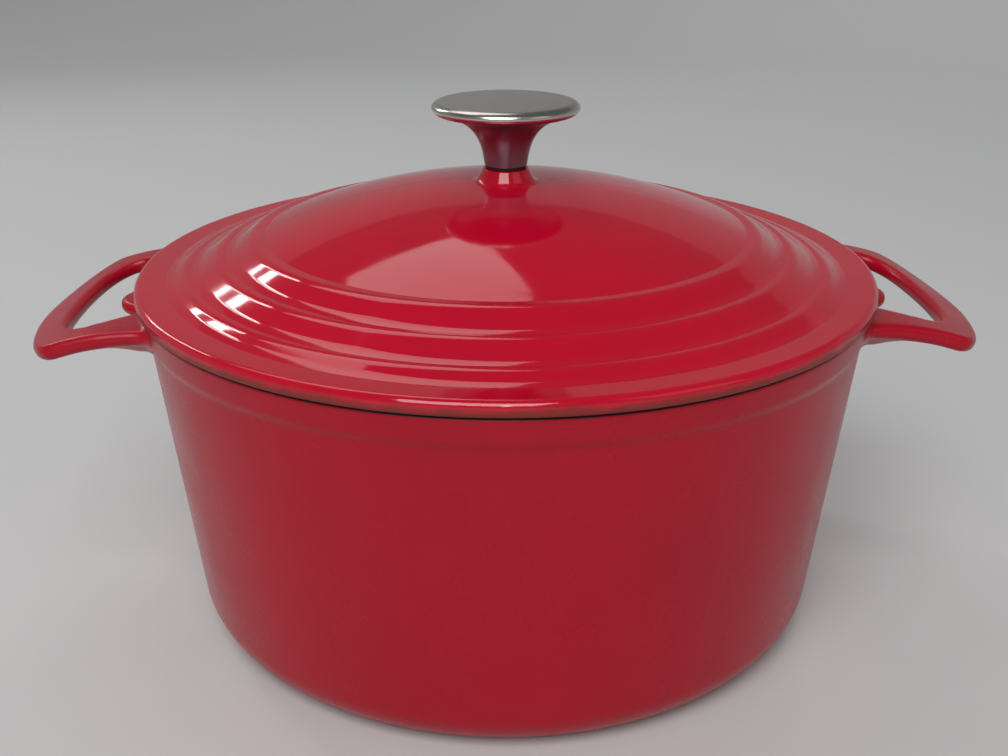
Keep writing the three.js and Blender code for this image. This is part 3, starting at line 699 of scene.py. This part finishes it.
class BuildFixings(bpy.types.Operator):
    """Turns the screw, the two washers and the gasket."""
    bl_idname = "dutch_oven.build_fixings"
    bl_label = "Build Fixings"

    def execute(self, context):
        setup = context.scene.dutch_oven
        knob = in_mm(setup.knob)
        finish = setup.finish
        # A cool, bright plate with a slightly uneven shine
        zinc = plain("bright zinc plate", finish.zinc, 0.26, metallic=1.0, grain=0.06)
        head = knob.head_level
        low = head - knob.head_height
        core = knob.screw_radius - 0.6 * knob.screw_pitch
        bm = bmesh.new()
        socket_radius, socket_depth, face_radius = 2.3, 2.2, 2.8
        socket = bmesh.ops.create_circle(bm, segments=6, radius=socket_radius)["verts"]
        bmesh.ops.translate(bm, verts=socket, vec=(0, 0, low))
        hexagon = list({edge for vert in socket for edge in vert.link_edges})
        dip = bmesh.ops.extrude_edge_only(bm, edges=hexagon)["geom"]
        bmesh.ops.translate(bm, verts=verts_in(dip), vec=(0, 0, socket_depth))
        bmesh.ops.contextual_create(bm, geom=edges_in(dip))
        turned(bm, rounded([
            (face_radius, low, 0),
            (knob.head_radius, low, 1.6),
            (knob.head_radius, head, 0.3),
            (core, head, 0.2),
            (core, knob.screw_tip, 0.4),
            (0, knob.screw_tip, 0)]), SCREW_STEPS)
        bmesh.ops.remove_doubles(bm, verts=bm.verts, dist=0.002)
        face_ring = [edge for edge in bm.edges if edge.is_boundary]
        bmesh.ops.bridge_loops(bm, edges=face_ring)
        turns = int((knob.screw_tip - head) / knob.screw_pitch) - 2
        start = knob.screw_tip - (turns + 1.2) * knob.screw_pitch
        root = core - 0.2
        ridge = [
            (root, start + 0.04 * knob.screw_pitch),
            (knob.screw_radius, start + 0.45 * knob.screw_pitch),
            (knob.screw_radius, start + 0.55 * knob.screw_pitch),
            (root, start + 0.96 * knob.screw_pitch),
        ]
        turned(bm, ridge, THREAD_STEPS * turns, closed=True, angle=FULL_TURN * turns,
               rise=knob.screw_pitch / THREAD_STEPS)
        place(bm, "knob_screw_steel", "screw", "knob_screw", [zinc])
        # Heat-proof rubber: a dull, dark line
        black = plain("black gasket", finish.rubber, 0.7, grain=0.1)
        bore = knob.screw_radius + 0.35
        for node, edge, gap, slot, material in (
            ("flat_washer", 0.25, 0, "zinc_plated_steel", zinc),
            ("spring_washer", 0.2, 1.2, "zinc_plated_steel", zinc),
            ("knob_gasket", 0.15, 0, "gasket", black),
        ):
            low, high = (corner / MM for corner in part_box(node))
            bm = bmesh.new()
            turned(bm, rounded([
                (bore, low.z, edge), (high.x, low.z, edge), (high.x, high.z, edge), (bore, high.z, edge)]),
                FIXING_STEPS, closed=True, angle=FULL_TURN - gap / high.x)
            place(bm, node + "_ring", "lid", node, [material])
        return {"FINISHED"}


class BuildStage(bpy.types.Operator):
    """Lays the floor and backdrop, and sets the lights and the camera."""
    bl_idname = "dutch_oven.build_stage"
    bl_label = "Build Stage"

    def execute(self, context):
        scene = context.scene
        finish = scene.dutch_oven.finish
        bm = bmesh.new()
        wall, cove, top = 2.4, 1.0, 1.4
        turned(bm, rounded([(0, 0, 0), (wall, 0, cove), (wall, top, 0)], finest=3), 128)
        bmesh.ops.remove_doubles(bm, verts=bm.verts, dist=0.001)
        bmesh.ops.recalc_face_normals(bm, faces=bm.faces)
        for face in bm.faces:
            face.smooth = True
        mesh = bpy.data.meshes.new("floor")
        bm.to_mesh(mesh)
        bm.free()
        # Matt paper, even and without glare
        mesh.materials.append(plain("pale paper", finish.floor, 0.7, grain=0.05))
        floor = bpy.data.objects.new("floor", mesh)
        scene.collection.objects.link(floor)

        # Place and size in metres, power in watts. The panes draw the highlights on the lid's rings
        aim = Vector((0, 0, 0.09))
        for name, spot, size, power in (
            ("left pane", (-0.9, 0.86, 0.8), (0.05, 0.5), 1.3),
            ("right pane", (-0.83, 0.93, 0.8), (0.03, 0.5), 0.7),
            ("ceiling", (-0.38, 0.75, 1.35), (0.9, 0.6), 2.8),
            ("strip", (-0.03, -1.4, 0.95), (0.06, 0.7), 0.8),
            ("key", (-0.3, -1.3, 1.5), (1.2, 1.2), 27.0),
            ("fill", (1.3, -0.9, 1.2), (1.0, 1.0), 1.5),
            ("rear", (0.9, 1.7, 1.3), (0.8, 0.8), 6.0),
        ):
            lamp = bpy.data.lights.new(name, "AREA")
            lamp.shape = "RECTANGLE"
            lamp.size, lamp.size_y = size
            lamp.energy = power
            light = bpy.data.objects.new(name, lamp)
            light.location = spot
            light.visible_glossy = name != "rear"
            light.rotation_euler = (aim - Vector(spot)).to_track_quat("-Z", "Y").to_euler()
            scene.collection.objects.link(light)

        world = bpy.data.worlds.new("room")
        world.use_nodes = True
        tree = world.node_tree
        tree.nodes.clear()
        sky = add(tree, "Background", {"Color": linear("#C6C8CC"), "Strength": 0.22})
        add(tree, "OutputWorld", {"Surface": sky.outputs[0]})
        scene.world = world
        scene.view_settings.view_transform = "Standard"

        lens = bpy.data.cameras.new("camera")
        lens.lens = 44.42
        lens.sensor_width = 36
        camera = bpy.data.objects.new("camera", lens)
        camera.location = (-0.01154, -0.41884, 0.25104)
        camera.rotation_euler = (math.radians(67.726), 0, math.radians(-1.49))
        scene.collection.objects.link(camera)
        scene.camera = camera
        return {"FINISHED"}


class DutchOvenPanel(bpy.types.Panel):
    """Builds the dutch oven from the sidebar."""
    bl_idname = "VIEW3D_PT_dutch_oven"
    bl_label = "Dutch Oven"
    bl_space_type = "VIEW_3D"
    bl_region_type = "UI"
    bl_category = "Dutch Oven"

    def draw(self, context):
        for operator in OPERATORS:
            self.layout.operator(operator.bl_idname)


OPERATORS = (BuildPot, BuildLid, BuildKnob, BuildFixings, BuildStage)
CLASSES = (PotSizes, HandleSizes, LidSizes, KnobSizes, Finish, DutchOven) + OPERATORS + (DutchOvenPanel,)


def register():
    for item in CLASSES:
        bpy.utils.register_class(item)
    bpy.types.Scene.dutch_oven = bpy.props.PointerProperty(type=DutchOven)


def unregister():
    del bpy.types.Scene.dutch_oven
    for item in reversed(CLASSES):
        bpy.utils.unregister_class(item)


def main():
    register()
    bpy.ops.dutch_oven.build_pot()
    bpy.ops.dutch_oven.build_lid()
    bpy.ops.dutch_oven.build_knob()
    bpy.ops.dutch_oven.build_fixings()
    bpy.ops.dutch_oven.build_stage()


if __name__ == "__main__":
    main()
